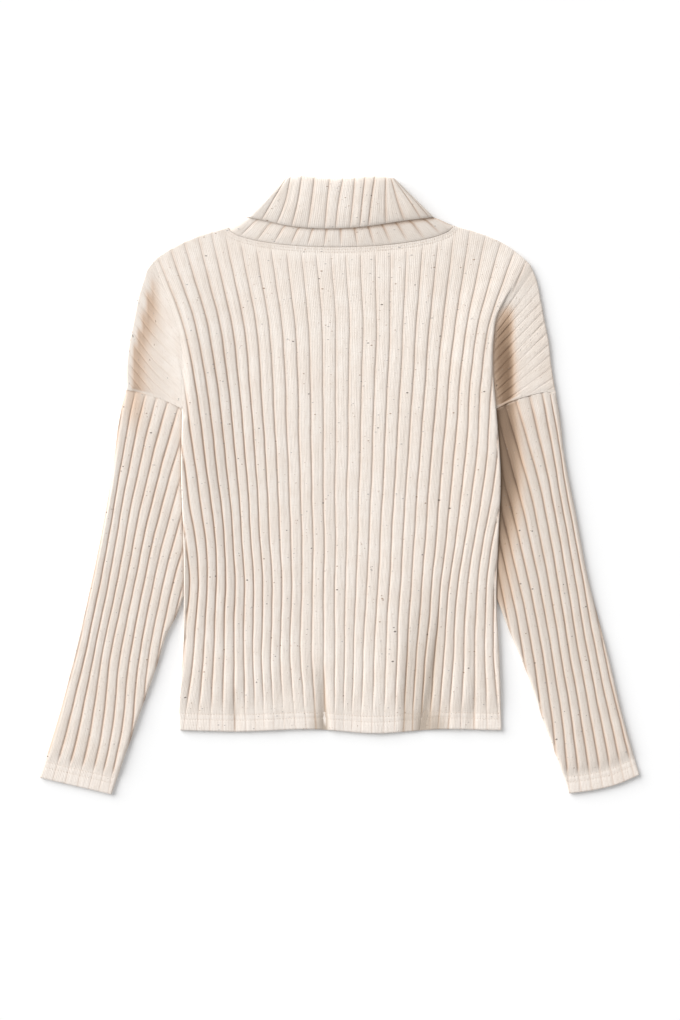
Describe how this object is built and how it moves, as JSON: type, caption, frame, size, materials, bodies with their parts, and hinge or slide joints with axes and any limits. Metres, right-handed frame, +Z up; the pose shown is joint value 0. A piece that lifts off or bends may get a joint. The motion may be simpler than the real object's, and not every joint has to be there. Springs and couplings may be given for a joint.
{
  "type": "ribbed roll-neck jumper",
  "caption": "Cream wide-rib knit jumper with a folded roll neck and dropped shoulders, laid flat with its back up and its sleeves turned down.",
  "frame": {"origin": "on the surface it lies on, at the middle of its footprint", "axes": "+X across the shoulders, to the right as seen from above, +Y from the hem to the collar, +Z up off the surface"},
  "size_m": [0.659, 0.679, 0.0102],
  "materials": {
    "rib_knit": "matte"
  },
  "bodies": {
    "root": {"front_panel": "rib_knit", "back_panel": "rib_knit", "left_sleeve": "rib_knit", "right_sleeve": "rib_knit", "collar": "rib_knit"}
  },
  "joints": []
}
